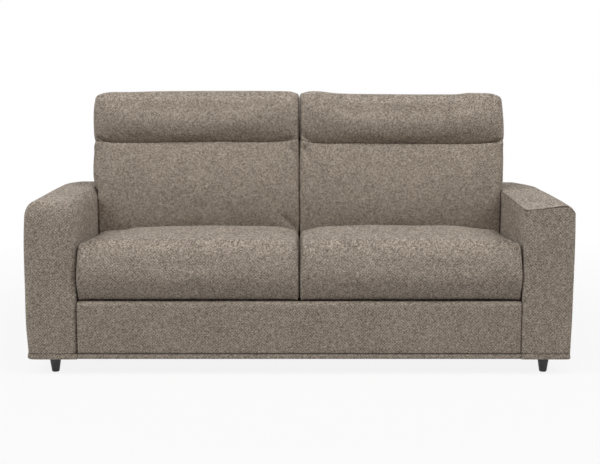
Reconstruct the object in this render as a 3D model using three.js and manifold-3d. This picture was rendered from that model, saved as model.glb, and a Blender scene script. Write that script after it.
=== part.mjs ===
// A two-cushion sofa whose seat and back roll forward and unfold into a double bed.
// Sizes are millimetres with +Z up. The front faces -Y and the floor is at zero height.
import * as THREE from 'three';
import { mergeVertices } from 'three/addons/utils/BufferGeometryUtils.js';
import Module from 'manifold-3d';

// Driving sizes of the whole sofa
const sofaWidth = 2000;
const sofaDepth = 970;
const hemHeight = 62;
const touchGap = 0.3;
const overrun = 5;
const weldLap = 0.5;

// Driving sizes of the arms and panels
const armWidth = 182.5;
const armHeight = 626;
const armSetback = 15;
const armEdge = 20;
const boardThickness = 18;
const boardInset = 30;
const panelSetback = 5;
const frontPanelDepth = 54;
const frontPanelTop = 268;
const rearPanelDepth = 50;
const rearPanelTop = 900;
const panelEdge = 9;

// Driving sizes of the three hinged bed sections
const tubeDepth = 20;
const tubeWidth = 22;
const foamThickness = 82.7;
const foldGap = 1;
const hingeInset = 0.2;
const foamEndGap = 0.7;
const foamEdge = 14;
const foamSideGap = 3.5;
const headRearGap = 43;
const backFoamDrop = 28;
const frameClearance = 2;
const rearFoamClearance = 10;
const railEndSetback = 10;
const deckThickness = 3;
const deckWire = 6;

// Driving sizes of the hinges and swing links
const earRadius = 12;
const earClearance = 4;
const earThickness = 5;
const earFoot = 40;
const pinRadius = 6;
const pinHeadRadius = 9;
const pinHead = 2.2;
const linkThickness = 6;
const linkSpacing = 300;
const linkRise = 251;
const linkReach = 163;
const linkDip = 88;
const linkBaseInset = 31;

// Driving sizes of the legs
const legTopWidth = 45;
const legFootWidth = 28;
const legInset = 92.3;
const legEndInset = 55;
const studRadius = 5;
const studLength = 26;
const midLegThickness = 5;
const midLegWidth = 24;
const floorClearance = 2;
const glideLength = 7.2;
const footLegWidth = 14;
const footLegDepth = 16;
const footArmGap = 8.5;
const footAxleRadius = 7.5;
const footLegLaneGap = 19;

// Driving sizes of the cushions
const cushionSplit = 5;
const seatTopRear = 452;
const seatTopFront = 470;
const backFrontY = 40;
const backBottom = 468;
const backTop = 1022;
const headrestSeam = 823;

// Places across the width, counted outward from the middle, from the arm inward
const armInner = sofaWidth / 2 - armWidth;
const plateThickness = 4;
const plateOuter = armInner - touchGap;
const plateInner = plateOuter - plateThickness;
const midLegGap = 1.2;
const midLegOuter = plateInner - midLegGap;
const midLegInner = midLegOuter - midLegThickness;
const linkGap = 9;
const linkOuter = midLegInner - linkGap;
const linkInner = linkOuter - linkThickness;
const earGap = 5.5;
const seatEarOuter = linkInner - earGap;
const seatEarInner = seatEarOuter - earThickness;
const seatRailOuter = seatEarInner + weldLap;
const seatRailInner = seatRailOuter - tubeWidth;
const earSideGap = 1.5;
const headEarOuter = seatEarInner - earSideGap;
const headEarInner = headEarOuter - earThickness;
const headRailOuter = headEarInner + weldLap;
const headRailInner = headRailOuter - tubeWidth;

// Places from front to rear
const frontY = -sofaDepth / 2;
const rearY = sofaDepth / 2;
const armFront = frontY + armSetback;
const panelFront = armFront + panelSetback;
const panelInner = panelFront + frontPanelDepth;
const rearPanelInner = rearY - rearPanelDepth;

// The folded stack, from the floor up: head section, seat section, seat cushions
const headFrameBottom = hemHeight + frameClearance;
const headFrameTop = headFrameBottom + tubeDepth;
const headFoamBottom = headFrameTop + touchGap;
const headFoamTop = headFoamBottom + foamThickness;
const seatHinge = { y: panelInner + earClearance + earRadius, z: headFoamTop + foldGap };
const seatFoamBottom = seatHinge.z + foldGap;
const seatFoamTop = seatFoamBottom + foamThickness;
const seatFrameBottom = seatFoamTop + touchGap;
const seatFrameTop = seatFrameBottom + tubeDepth;
const seatCushionBottom = seatFrameTop + touchGap;

// The back section stands behind it: back cushions, frame, foam, rear panel
const backFoamRear = rearPanelInner - rearFoamClearance;
const backFoamFront = backFoamRear - foamThickness;
const backFrameRear = backFoamFront - touchGap;
const backFrameFront = backFrameRear - tubeDepth;
const backHinge = { y: backFoamFront + hingeInset, z: seatFoamTop - hingeInset };
const backFrameBottom = seatFrameTop + frameClearance;
const backFoamBottom = backHinge.z + foamEndGap;
const backFoamTop = rearPanelTop - backFoamDrop;
const backCushionRear = backFrameFront - touchGap;

const frameFront = seatHinge.y + railEndSetback;
const foamFront = seatHinge.y + foamEndGap;
const seatFrameRear = backFrameFront - frameClearance;
const headFoamRear = seatFrameRear - headRearGap;
const seatFoamRear = backHinge.y - foamEndGap;
const seatCushionRear = backFrameFront - frameClearance / 2;

// The swing links turn from low and rearward to high and slightly forward, so they carry the bed level
const linkTop = linkRise - linkDip;
const linkBack = (linkReach ** 2 - linkDip ** 2 + linkTop ** 2) / (2 * linkReach);
const headPin = { y: seatHinge.y - linkBaseInset / 2 + linkBack + linkBaseInset, z: headFrameBottom + tubeDepth / 2 };
const plateHeight = headPin.z + linkDip;
const linkBases = [headPin.y - linkBack, headPin.y - linkBack + linkSpacing];

// The foot legs turn on an axle across the back section and stand under it when the bed is open
const footAxle = {
  y: backFrameFront + footAxleRadius + foldGap,
  z: armHeight + footArmGap + footAxleRadius + foldGap,
};
const openHingeHeight = seatHinge.z + linkRise - (backHinge.z - seatHinge.z);
const footLegReach = openHingeHeight - (backHinge.y - footAxle.y) - floorClearance;
const midLegReach = openHingeHeight - floorClearance;
const footLegInner = armInner + footLegLaneGap;
const footLegOuter = footLegInner + footLegWidth;

const finish = (color, roughness, metalness) => new THREE.MeshStandardMaterial({ color, roughness, metalness });
const fabric = finish('#8f877d', 0.95, 0);
const ticking = finish('#dcd9d2', 0.9, 0);
const paintedSteel = finish('#3b3d3f', 0.45, 0.6);
const zincSteel = finish('#a7aaad', 0.35, 0.9);
const plywood = finish('#b99a6b', 0.8, 0);
const darkPlastic = finish('#2b2a2a', 0.5, 0);

const sofa = new THREE.Group();
const wasm = await Module();
wasm.setup();

function put(name, geometry, material) {
  const mesh = new THREE.Mesh(geometry, material);
  mesh.name = name;
  sofa.add(mesh);
}

// Closed meshes become solids that can be joined and cut, and go back again
function toSolid(geometry) {
  const bare = geometry.clone();
  bare.deleteAttribute('normal');
  bare.deleteAttribute('uv');
  const merged = mergeVertices(bare);
  const triVerts = Uint32Array.from(merged.index.array);
  return new wasm.Manifold(new wasm.Mesh({ numProp: 3, vertProperties: merged.attributes.position.array, triVerts }));
}

function toGeometry(solid) {
  const mesh = solid.getMesh();
  const geometry = new THREE.BufferGeometry();
  geometry.setAttribute('position', new THREE.BufferAttribute(new Float32Array(mesh.vertProperties), 3));
  geometry.setIndex(new THREE.BufferAttribute(new Uint32Array(mesh.triVerts), 1));
  geometry.computeVertexNormals();
  return geometry;
}

function join(...geometries) {
  return toGeometry(geometries.map(toSolid).reduce((whole, piece) => whole.add(piece)));
}

function cut(geometry, ...tools) {
  return toGeometry(tools.map(toSolid).reduce((whole, tool) => whole.subtract(tool), toSolid(geometry)));
}

// Faces round a rod or a hole, and round a leg
const roundSteps = 12;
const legSteps = 16;

// A box between two corners
function block([x0, x1], [y0, y1], [z0, z1]) {
  const box = new THREE.BoxGeometry(x1 - x0, y1 - y0, z1 - z0);
  return box.translate((x0 + x1) / 2, (y0 + y1) / 2, (z0 + z1) / 2);
}

// A place across the width on one side of the sofa: side is 1 on the right and -1 on the left
function lane(side, inner, outer) {
  return side > 0 ? [inner, outer] : [-outer, -inner];
}

// A round rod across the width, made of steps of radius and the places where each step ends
function rod(y, z, start, steps) {
  const points = [new THREE.Vector2(0, start)];
  let from = start;
  for (const [radius, to] of steps) {
    points.push(new THREE.Vector2(radius, from), new THREE.Vector2(radius, to));
    from = to;
  }
  points.push(new THREE.Vector2(0, from));
  const turned = new THREE.LatheGeometry(points, roundSteps);
  return turned.rotateZ(-Math.PI / 2).translate(0, y, z);
}

// The same rod on either side: on the left it is turned end for end
function sideRod(side, y, z, start, steps) {
  const turned = rod(y, z, start, steps);
  return side > 0 ? turned : turned.rotateZ(Math.PI).translate(0, 2 * y, 0);
}

// A flat plate upright along the sofa's depth, cut from an outline in depth and height
function sidePlate(outline, [x0, x1]) {
  const plate = new THREE.ExtrudeGeometry(outline, { depth: x1 - x0, bevelEnabled: false, curveSegments: roundSteps / 2 });
  const turn = new THREE.Matrix4();
  turn.makeBasis(new THREE.Vector3(0, 1, 0), new THREE.Vector3(0, 0, 1), new THREE.Vector3(1, 0, 0));
  return plate.applyMatrix4(turn).translate(x0, 0, 0);
}

function hole(y, z, radius) {
  const ring = new THREE.Path();
  ring.absarc(y, z, radius, 0, 2 * Math.PI, true);
  return ring;
}

// Stops along one axis of a soft block: close together round the edges, at the given shares between them
function stopsAlong(half, edge, rings, shares) {
  const flat = half - edge;
  const bend = Array.from({ length: rings }, (_, ring) => edge * Math.tan(((ring + 1) / rings) * (Math.PI / 4)));
  const before = bend.map((reach) => -flat - reach).reverse();
  const after = bend.map((reach) => flat + reach);
  return [...before, ...shares.map((share) => (2 * share - 1) * flat), ...after];
}

const evenShares = (parts) => Array.from({ length: parts + 1 }, (_, part) => part / parts);

// A closed block with round edges. The shape function then moves each point, given in shares of the half sizes.
function softBlock(spans, edge, rings, shares, shape = (place) => place) {
  const halves = spans.map(([low, high]) => (high - low) / 2);
  const stops = halves.map((half, axis) => stopsAlong(half, edge, rings, shares[axis]));
  const counts = stops.map((list) => list.length - 1);
  const box = new THREE.BoxGeometry(2, 2, 2, ...counts);
  const position = box.attributes.position;
  for (let index = 0; index < position.count; index += 1) {
    const grid = [position.getX(index), position.getY(index), position.getZ(index)];
    const outer = grid.map((value, axis) => stops[axis][Math.round(((value + 1) / 2) * counts[axis])]);
    const core = outer.map((value, axis) => THREE.MathUtils.clamp(value, edge - halves[axis], halves[axis] - edge));
    const away = new THREE.Vector3(...outer.map((value, axis) => value - core[axis])).setLength(edge);
    const round = core.map((value, axis) => value + away.getComponent(axis));
    const moved = shape(round.map((value, axis) => value / halves[axis]), round, halves);
    position.setXYZ(index, ...moved.map((value, axis) => value + spans[axis][0] + halves[axis]));
  }
  box.deleteAttribute('normal');
  box.deleteAttribute('uv');
  const merged = mergeVertices(box);
  merged.computeVertexNormals();
  return merged;
}

const roundShape = (place, round) => round;
const plainShares = [[0, 1], [0, 1], [0, 1]];

// Arms: an upholstered block, open below for the board that stands inside it
const boardInner = armInner + boardInset;
const boardFront = armFront + boardInset;
const boardRear = rearY - boardInset;
const boardTop = armHeight - boardInset;
const legX = sofaWidth / 2 - legInset;
const legPlaces = { front: armFront + legEndInset, rear: rearY - legEndInset };

// The plate bolts pass through the plate and the fabric into the arm board
const boltRadius = 4;
const boltHeadRadius = 8;
const boltHead = 3.5;
const boltInset = 50;
const boltPlaces = { front: linkBases[0] + boltInset, rear: linkBases[1] - boltInset };

function boltHole(side, y) {
  const radius = boltRadius + touchGap;
  return sideRod(side, y, plateHeight, plateInner - overrun, [[radius, boardInner + boardThickness + overrun]]);
}

function arm(side) {
  const spans = [lane(side, armInner, sofaWidth / 2), [armFront, rearY], [hemHeight, armHeight]];
  const body = softBlock(spans, armEdge, 2, plainShares, roundShape);
  const slot = block(
    lane(side, boardInner - touchGap, boardInner + boardThickness + touchGap),
    [boardFront - touchGap, boardRear + touchGap],
    [hemHeight - overrun, boardTop + touchGap],
  );
  const studHoles = Object.values(legPlaces).map((y) => upright(side * legX, y, hemHeight - overrun, [
    [studRadius + touchGap, hemHeight + studLength + touchGap],
  ]));
  const bolts = Object.values(boltPlaces).map((y) => boltHole(side, y));
  return cut(body, slot, ...studHoles, ...bolts);
}

// A turned piece that stands upright, made of steps of radius and the heights where each step ends
function upright(x, y, start, steps) {
  const points = [new THREE.Vector2(0, start)];
  let from = start;
  for (const [radius, to, footRadius = radius] of steps) {
    points.push(new THREE.Vector2(footRadius, from), new THREE.Vector2(radius, to));
    from = to;
  }
  points.push(new THREE.Vector2(0, from));
  return new THREE.LatheGeometry(points, legSteps).rotateX(Math.PI / 2).translate(x, y, 0);
}

function armBoard(side) {
  const board = block(
    lane(side, boardInner, boardInner + boardThickness),
    [boardFront, boardRear],
    [hemHeight, boardTop],
  );
  return cut(board, ...Object.values(boltPlaces).map((y) => boltHole(side, y)));
}

function leg(side, y) {
  return upright(side * legX, y, 0, [
    [legTopWidth / 2, hemHeight - touchGap, legFootWidth / 2],
    [studRadius, hemHeight + studLength],
  ]);
}

// Front and rear panels: upholstered, each with a board that slides in from below
function panel([y0, y1], top, boardY, board) {
  const half = armInner - touchGap;
  const padded = softBlock([[-half, half], [y0, y1], [hemHeight, top]], panelEdge, 2, plainShares, roundShape);
  const [depth0, depth1] = boardY;
  const slot = block(
    [boardInset - half - touchGap, half - boardInset + touchGap],
    [depth0 - touchGap, depth1 + touchGap],
    [hemHeight - overrun, board + touchGap],
  );
  return cut(padded, slot);
}

function panelBoard(boardY, board) {
  const half = armInner - touchGap - boardInset;
  return block([-half, half], boardY, [hemHeight, board]);
}

const boardBetween = (y0, y1) => [(y0 + y1 - boardThickness) / 2, (y0 + y1 + boardThickness) / 2];
const frontBoardY = boardBetween(panelFront, panelInner);
const rearBoardY = boardBetween(rearPanelInner, rearY);
const frontBoardTop = frontPanelTop - boardInset;
const rearBoardTop = rearPanelTop - boardInset;

put('front_panel', panel([panelFront, panelInner], frontPanelTop, frontBoardY, frontBoardTop), fabric);
put('front_panel_board', panelBoard(frontBoardY, frontBoardTop), plywood);
put('rear_panel', panel([rearPanelInner, rearY], rearPanelTop, rearBoardY, rearBoardTop), fabric);
put('rear_panel_board', panelBoard(rearBoardY, rearBoardTop), plywood);

// Mechanism plates: a steel strip on each arm with the two lower pivots of the swing links
const plateHalf = 32;
const plateEnd = 25;

function mechanismPlate(side) {
  const outline = new THREE.Shape();
  outline.moveTo(linkBases[0] - plateEnd, plateHeight - plateHalf);
  outline.lineTo(linkBases[1] + plateEnd, plateHeight - plateHalf);
  outline.lineTo(linkBases[1] + plateEnd, plateHeight + plateHalf);
  outline.lineTo(linkBases[0] - plateEnd, plateHeight + plateHalf);
  outline.closePath();
  outline.holes = Object.values(boltPlaces).map((y) => hole(y, plateHeight, boltRadius + touchGap));
  const pivots = linkBases.map((y) => sideRod(side, y, plateHeight, linkInner - touchGap - pinHead, [
    [pinHeadRadius, linkInner - touchGap],
    [pinRadius, plateInner + weldLap],
  ]));
  return join(sidePlate(outline, lane(side, plateInner, plateOuter)), ...pivots);
}

function plateBolt(side, y) {
  return sideRod(side, y, plateHeight, plateInner - touchGap - boltHead, [
    [boltHeadRadius, plateInner - touchGap],
    [boltRadius, boardInner + boardThickness],
  ]);
}

// Swing links: a flat bar with round ends from a pivot on the plate to a pivot on the head section
function swingLink(side, baseY) {
  const tip = { y: baseY + linkBack, z: headPin.z };
  const base = { y: baseY, z: plateHeight };
  const heading = Math.atan2(tip.z - base.z, tip.y - base.y);
  const outline = new THREE.Shape();
  outline.absarc(tip.y, tip.z, earRadius, heading - Math.PI / 2, heading + Math.PI / 2, false);
  outline.absarc(base.y, base.z, earRadius, heading + Math.PI / 2, heading + (3 * Math.PI) / 2, false);
  outline.closePath();
  outline.holes = [tip, base].map((end) => hole(end.y, end.z, pinRadius + touchGap));
  return sidePlate(outline, lane(side, linkInner, linkOuter));
}

// Bed sections: two side rails, two cross tubes, a wire deck and a foam block.
// The frame tubes end short of each hinge line, and flat ears reach from them to the hinge pins.
const railFoot = 4;

function headEar() {
  const outline = new THREE.Shape();
  outline.moveTo(frameFront, headFrameBottom + railFoot);
  outline.lineTo(frameFront + earFoot, headFrameBottom + railFoot);
  outline.lineTo(frameFront + earFoot, headFrameTop);
  outline.absarc(seatHinge.y, seatHinge.z, earRadius, 0, Math.PI, false);
  outline.closePath();
  outline.holes = [hole(seatHinge.y, seatHinge.z, pinRadius + touchGap)];
  return outline;
}

function seatFrontEar() {
  const outline = new THREE.Shape();
  outline.moveTo(frameFront, seatFrameTop - railFoot);
  outline.absarc(seatHinge.y, seatHinge.z, earRadius, Math.PI, 2 * Math.PI, false);
  outline.lineTo(frameFront + earFoot, seatFrameBottom);
  outline.lineTo(frameFront + earFoot, seatFrameTop - railFoot);
  outline.closePath();
  outline.holes = [hole(seatHinge.y, seatHinge.z, pinRadius + touchGap)];
  return outline;
}

function seatRearEar() {
  const outline = new THREE.Shape();
  outline.moveTo(seatFrameRear - earFoot, seatFrameTop - railFoot);
  outline.lineTo(seatFrameRear - earFoot, seatFrameBottom + railFoot);
  outline.lineTo(seatFrameRear - tubeDepth, seatFrameBottom + railFoot);
  outline.absarc(backHinge.y, backHinge.z, earRadius, -Math.PI / 2, Math.PI / 2, false);
  outline.lineTo(seatFrameRear - tubeDepth, seatFrameTop - railFoot);
  outline.closePath();
  outline.holes = [hole(backHinge.y, backHinge.z, pinRadius + touchGap)];
  return outline;
}

function backEar() {
  const outline = new THREE.Shape();
  outline.moveTo(backFrameFront + railFoot, backFrameBottom + earFoot);
  outline.lineTo(backFrameFront + railFoot, backFrameBottom + tubeDepth);
  outline.absarc(backHinge.y, backHinge.z, earRadius, Math.PI, 2 * Math.PI, false);
  outline.lineTo(backFrameRear, backFrameBottom + tubeDepth);
  outline.lineTo(backFrameRear, backFrameBottom + earFoot);
  outline.closePath();
  outline.holes = [hole(backHinge.y, backHinge.z, pinRadius + touchGap)];
  return outline;
}

// A wire deck is a flat grid of welded wires, made flat on the ground plane with its first corner at zero
const wireColumns = 8;
const wireRows = 4;

function wireDeck(width, length) {
  const pitchX = (width - deckWire) / wireColumns;
  const pitchY = (length - deckWire) / wireRows;
  const gaps = [];
  for (let column = 0; column < wireColumns; column += 1) {
    for (let row = 0; row < wireRows; row += 1) {
      const across = [deckWire + column * pitchX, (column + 1) * pitchX];
      const along = [deckWire + row * pitchY, (row + 1) * pitchY];
      gaps.push(block(across, along, [-overrun, deckThickness + overrun]));
    }
  }
  return cut(block([0, width], [0, length], [0, deckThickness]), ...gaps);
}

const foamHalf = headRailInner - foamSideGap;

// Head section, under the rest when the sofa is closed
function headRail(side) {
  const across = lane(side, headRailInner, headRailOuter);
  const tube = block(across, [frameFront, headFoamRear], [headFrameBottom, headFrameTop]);
  const ear = sidePlate(headEar(), lane(side, headEarInner, headEarOuter));
  const pins = linkBases.map((y) => sideRod(side, y + linkBack, headPin.z, headRailOuter - weldLap, [
    [pinRadius, linkOuter + touchGap],
    [pinHeadRadius, linkOuter + touchGap + pinHead],
  ]));
  return join(tube, ear, ...pins);
}

function crossTube(inner, y0, z0) {
  const half = inner - touchGap;
  return block([-half, half], [y0, y0 + tubeDepth], [z0, z0 + tubeDepth]);
}

const headDeckHalf = headRailInner - touchGap;
const deckFront = frameFront + tubeDepth + touchGap;
const headDeckRear = headFoamRear - tubeDepth - touchGap;
put('head_front_tube', crossTube(headRailInner, frameFront, headFrameBottom), paintedSteel);
put('head_rear_tube', crossTube(headRailInner, headFoamRear - tubeDepth, headFrameBottom), paintedSteel);
put(
  'head_wire_deck',
  wireDeck(2 * headDeckHalf, headDeckRear - deckFront).translate(-headDeckHalf, deckFront, headFrameTop - deckThickness),
  zincSteel,
);
put(
  'head_mattress',
  softBlock([[-foamHalf, foamHalf], [foamFront, headFoamRear], [headFoamBottom, headFoamTop]], foamEdge, 1, plainShares, roundShape),
  ticking,
);

// Seat section, over the head section, upside down until the bed is open
function seatRail(side) {
  const tube = block(lane(side, seatRailInner, seatRailOuter), [frameFront, seatFrameRear], [seatFrameBottom, seatFrameTop]);
  const earLane = lane(side, seatEarInner, seatEarOuter);
  return join(tube, sidePlate(seatFrontEar(), earLane), sidePlate(seatRearEar(), earLane));
}

const seatDeckHalf = seatRailInner - touchGap;
const seatDeckRear = seatFrameRear - tubeDepth - touchGap;
put('seat_front_tube', crossTube(seatRailInner, frameFront, seatFrameBottom), paintedSteel);
put('seat_rear_tube', crossTube(seatRailInner, seatFrameRear - tubeDepth, seatFrameBottom), paintedSteel);
put(
  'seat_wire_deck',
  wireDeck(2 * seatDeckHalf, seatDeckRear - deckFront).translate(-seatDeckHalf, deckFront, seatFrameBottom),
  zincSteel,
);
put(
  'seat_mattress',
  softBlock([[-foamHalf, foamHalf], [foamFront, seatFoamRear], [seatFoamBottom, seatFoamTop]], foamEdge, 1, plainShares, roundShape),
  ticking,
);

// Back section, standing behind the back cushions
function backRail(side) {
  const tube = block(lane(side, headRailInner, headRailOuter), [backFrameFront, backFrameRear], [backFrameBottom, backFoamTop]);
  const ear = sidePlate(backEar(), lane(side, headEarInner, headEarOuter));
  const bearing = sideRod(side, footAxle.y, footAxle.z, headRailInner - overrun, [
    [footAxleRadius + touchGap, headRailOuter + overrun],
  ]);
  return cut(join(tube, ear), bearing);
}

const deckBottom = backFrameBottom + tubeDepth + touchGap;
const backDeckTop = backFoamTop - tubeDepth - touchGap;
put('back_lower_tube', crossTube(headRailInner, backFrameFront, backFrameBottom), paintedSteel);
put('back_upper_tube', crossTube(headRailInner, backFrameFront, backFoamTop - tubeDepth), paintedSteel);
put(
  'back_wire_deck',
  wireDeck(2 * headDeckHalf, backDeckTop - deckBottom).rotateX(Math.PI / 2).translate(-headDeckHalf, backFrameRear, deckBottom),
  zincSteel,
);
put(
  'back_mattress',
  softBlock([[-foamHalf, foamHalf], [backFoamFront, backFoamRear], [backFoamBottom, backFoamTop]], foamEdge, 1, plainShares, roundShape),
  ticking,
);

// Middle legs: a cranked flat bar on the lower end of the back section
const midLegArm = { bottom: backFrameBottom + tubeDepth - railFoot, top: backFrameBottom + earFoot };
const midLegBottom = backHinge.z - foldGap - hingeInset;
const midGlideWidth = 6.4;
const midLegTip = backHinge.y - midLegReach;

function midLeg(side) {
  const outline = new THREE.Shape();
  outline.moveTo(midLegTip + glideLength + touchGap, midLegBottom);
  outline.lineTo(backFrameRear, midLegBottom);
  outline.lineTo(backFrameRear, midLegArm.top);
  outline.lineTo(backFrameFront, midLegArm.top);
  outline.lineTo(backFrameFront, midLegBottom + midLegWidth);
  outline.lineTo(midLegTip + glideLength + touchGap, midLegBottom + midLegWidth);
  outline.closePath();
  const bar = sidePlate(outline, lane(side, midLegInner, midLegOuter));
  const stub = block(
    lane(side, headEarOuter + touchGap, midLegInner + weldLap),
    [backFrameFront, backFrameRear],
    [midLegArm.bottom, midLegArm.top],
  );
  return join(bar, stub);
}

function midGlide(side) {
  const middle = (midLegInner + midLegOuter) / 2;
  const across = lane(side, middle - midGlideWidth / 2, middle + midGlideWidth / 2);
  return block(across, [midLegTip, midLegTip + glideLength], [midLegBottom - foldGap, midLegBottom + midLegWidth + foldGap]);
}

// Foot legs: an axle across the back section with a leg on each end, folded up beside the back cushions
const footLegBottom = footAxle.z - footAxleRadius - foldGap;
const footLegTip = footAxle.z + footLegReach;
const axleEnd = footLegInner - touchGap;
put('foot_leg_axle', rod(footAxle.y, footAxle.z, -axleEnd, [[footAxleRadius, axleEnd]]), zincSteel);

function footLeg(side) {
  const across = lane(side, footLegInner, footLegOuter);
  const depth = [footAxle.y - footLegDepth / 2, footAxle.y + footLegDepth / 2];
  return block(across, depth, [footLegBottom, footLegTip - glideLength - touchGap]);
}

function footGlide(side) {
  const across = lane(side, footLegInner, footLegOuter);
  const depth = [footAxle.y - footLegDepth / 2, footAxle.y + footLegDepth / 2];
  return block(across, depth, [footLegTip - glideLength, footLegTip]);
}

// Rivet pins of the two hinge lines
function hingePin(side, hinge) {
  return sideRod(side, hinge.y, hinge.z, headEarInner - touchGap - pinHead, [
    [pinHeadRadius, headEarInner - touchGap],
    [pinRadius, seatEarOuter + touchGap],
    [pinHeadRadius, seatEarOuter + touchGap + pinHead],
  ]);
}

// Seat cushion: flat below, a crowned top that drops to pass under the back cushion, a bulging front and
// drawn-in sides
const seatEdge = 42;
const seatCrown = 16;
const seatNose = 12;
const seatDraw = 5;
const seatSideGap = 4.5;
const seatTuck = 10;
const seatDropRun = 60;
const seatDropGap = 5;
const rearNarrowing = armInner - seatSideGap - (midLegInner - earSideGap);
const smooth = (value) => THREE.MathUtils.smoothstep(value, 0, 1);
const dome = (share) => 1 - share * share;

function seatCushion(side) {
  const across = lane(side, cushionSplit / 2, armInner - seatSideGap);
  const spans = [across, [frontY + seatNose, seatCushionRear], [seatCushionBottom, seatTopRear]];
  const core = [spans[1][0] + seatEdge, spans[1][1] - seatEdge];
  const dropEnd = (backFrontY - seatDropGap - core[0]) / (core[1] - core[0]);
  const dropStart = dropEnd - seatDropRun / (core[1] - core[0]);
  const sharesAlong = [0, dropStart / 3, (2 * dropStart) / 3, dropStart, dropEnd, (1 + dropEnd) / 2, 1];
  return softBlock(spans, seatEdge, 3, [evenShares(6), sharesAlong, evenShares(4)], ([u, v, w], [x, y, z], halves) => {
    const forward = smooth((backFrontY - seatDropGap - (spans[1][0] + halves[1] + y)) / seatDropRun);
    const lift = (seatTopFront - seatTopRear + seatCrown * dome(u)) * forward;
    const up = (w + 1) / 2;
    const front = Math.max(0, -v) ** 3;
    const outward = side * u;
    const narrow = outward > 0 ? smooth((v + 0.05) * 8) * rearNarrowing : 0;
    const pull = (seatDraw * dome(v) + seatTuck * front * (1 - up) ** 2) * Math.abs(u) ** 3 + narrow * Math.abs(u);
    return [
      x - Math.sign(u) * pull,
      y - seatNose * front * dome(w) * (0.5 + dome(u) / 2),
      z + up * lift,
    ];
  });
}

// Back cushion: swollen front and headrest with a sewn channel between them
const backEdge = 44;
const backSwell = 14;
const headrestSetback = 14;
const channelDepth = 13;
const channelWidth = 15;
const backDraw = 6;
const backCrown = 10;
const backSideGap = 3;
const backSharesUp = [0, 0.15, 0.3, 0.45, 0.57, 0.64, 0.682, 0.72, 0.78, 0.89, 1];

function backCushion(side) {
  const across = lane(side, cushionSplit / 2, armInner - backSideGap);
  const spans = [across, [backFrontY, backCushionRear], [backBottom, backTop - backCrown]];
  return softBlock(spans, backEdge, 3, [evenShares(7), evenShares(2), backSharesUp], ([u, v, w], [x, y, z], halves) => {
    const height = spans[2][0] + halves[2] + z;
    const front = smooth((1 - v) / 2);
    const lower = THREE.MathUtils.clamp((height - backBottom) / (headrestSeam - backBottom), 0, 1);
    const upper = THREE.MathUtils.clamp((height - headrestSeam) / (backTop - headrestSeam), 0, 1);
    const belly = backSwell * dome(2 * lower - 1) + (backSwell / 2) * dome(2 * upper - 1);
    const channel = Math.exp(-(((height - headrestSeam) / channelWidth) ** 2));
    const setback = headrestSetback * smooth((height - headrestSeam) / channelWidth + 1 / 2);
    const pull = (backDraw * dome(w) + (channelDepth / 2) * channel * front) * Math.abs(u) ** 3;
    return [
      x - Math.sign(u) * pull,
      y + front * (setback + channelDepth * channel - belly * dome(u ** 2)),
      z + backCrown * dome(u) * ((w + 1) / 2) ** 2,
    ];
  });
}

for (const [sideName, side] of [['left', -1], ['right', 1]]) {
  put(`${sideName}_arm`, arm(side), fabric);
  put(`${sideName}_arm_board`, armBoard(side), plywood);
  put(`${sideName}_mechanism_plate`, mechanismPlate(side), zincSteel);
  for (const [endName, y] of Object.entries(legPlaces)) {
    put(`${endName}_${sideName}_leg`, leg(side, y), darkPlastic);
  }
  for (const [endName, y] of Object.entries(boltPlaces)) {
    put(`${sideName}_${endName}_plate_bolt`, plateBolt(side, y), zincSteel);
  }
  put(`${sideName}_front_link`, swingLink(side, linkBases[0]), zincSteel);
  put(`${sideName}_rear_link`, swingLink(side, linkBases[1]), zincSteel);
  put(`${sideName}_head_rail`, headRail(side), paintedSteel);
  put(`${sideName}_seat_rail`, seatRail(side), paintedSteel);
  put(`${sideName}_back_rail`, backRail(side), paintedSteel);
  put(`${sideName}_seat_hinge_pin`, hingePin(side, seatHinge), zincSteel);
  put(`${sideName}_back_hinge_pin`, hingePin(side, backHinge), zincSteel);
  put(`${sideName}_middle_leg`, midLeg(side), paintedSteel);
  put(`${sideName}_middle_glide`, midGlide(side), darkPlastic);
  put(`${sideName}_foot_leg`, footLeg(side), paintedSteel);
  put(`${sideName}_foot_glide`, footGlide(side), darkPlastic);
  put(`${sideName}_seat_cushion`, seatCushion(side), fabric);
  put(`${sideName}_back_cushion`, backCushion(side), fabric);
}

export default sofa;
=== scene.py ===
import math

import bpy
import numpy as np
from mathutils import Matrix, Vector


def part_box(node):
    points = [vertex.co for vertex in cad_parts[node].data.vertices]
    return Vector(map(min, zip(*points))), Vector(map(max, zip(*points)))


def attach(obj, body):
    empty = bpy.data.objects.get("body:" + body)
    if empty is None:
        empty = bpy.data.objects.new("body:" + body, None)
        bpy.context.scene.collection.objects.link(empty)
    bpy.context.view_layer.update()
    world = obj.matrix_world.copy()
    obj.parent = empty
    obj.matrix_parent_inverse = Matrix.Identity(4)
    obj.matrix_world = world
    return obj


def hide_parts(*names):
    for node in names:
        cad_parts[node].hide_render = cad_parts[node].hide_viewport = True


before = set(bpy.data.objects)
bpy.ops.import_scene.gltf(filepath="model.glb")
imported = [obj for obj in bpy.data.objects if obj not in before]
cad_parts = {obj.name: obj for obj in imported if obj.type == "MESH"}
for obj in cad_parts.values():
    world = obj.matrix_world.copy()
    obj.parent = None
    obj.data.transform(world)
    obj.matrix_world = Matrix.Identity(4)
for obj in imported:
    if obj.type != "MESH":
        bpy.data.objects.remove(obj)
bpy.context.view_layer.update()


# Arms. Each is a timber box under foam, covered in a thick two-tone woven fabric. The left one is
# softly padded over its edges, and the right one has a sewn top panel with a crisp edge. A folded hem
# is stitched round the bottom.

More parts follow.
